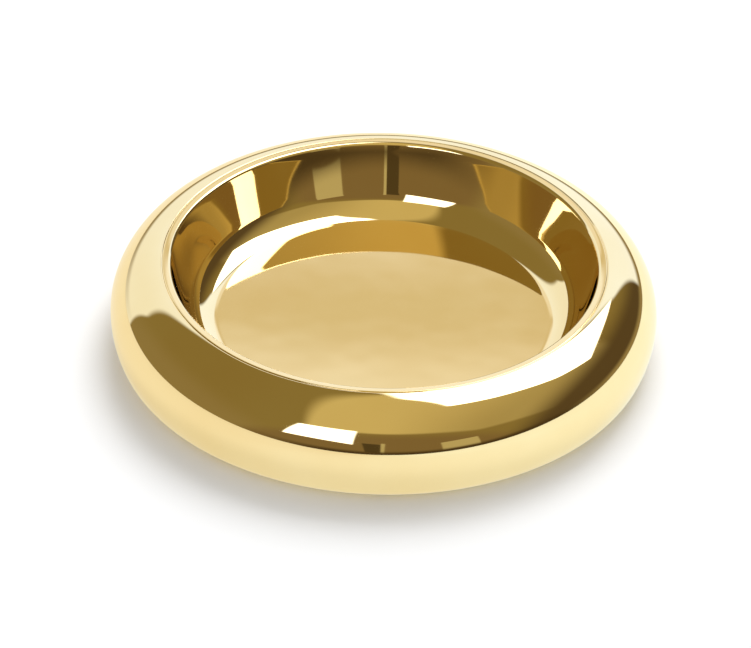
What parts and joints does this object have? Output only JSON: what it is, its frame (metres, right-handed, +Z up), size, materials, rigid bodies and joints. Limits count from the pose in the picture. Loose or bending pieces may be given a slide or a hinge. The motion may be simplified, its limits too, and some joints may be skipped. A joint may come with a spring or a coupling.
{
  "type": "offering plate",
  "caption": "Round brass plate with a flat-bottomed bowl, flared wall and broad rolled rim, passed from hand to hand to collect gifts.",
  "frame": {"origin": "centre of the resting face, under the felt ring", "axes": "+Z up along the plate's axis of revolution; X and Y are any two square directions across the plate"},
  "size_m": [0.305, 0.305, 0.0551],
  "materials": {
    "polished_brass": "mirror polished and lacquered",
    "soft_solder": "dull",
    "brass_wire": "drawn, unpolished",
    "green_felt": "pressed wool felt"
  },
  "bodies": {
    "root": {"bowl_shell": "polished_brass", "rim_shell": "polished_brass", "lip_solder_seam": "soft_solder", "rim_edge_wire": "brass_wire", "base_felt_ring": "green_felt"}
  },
  "joints": []
}
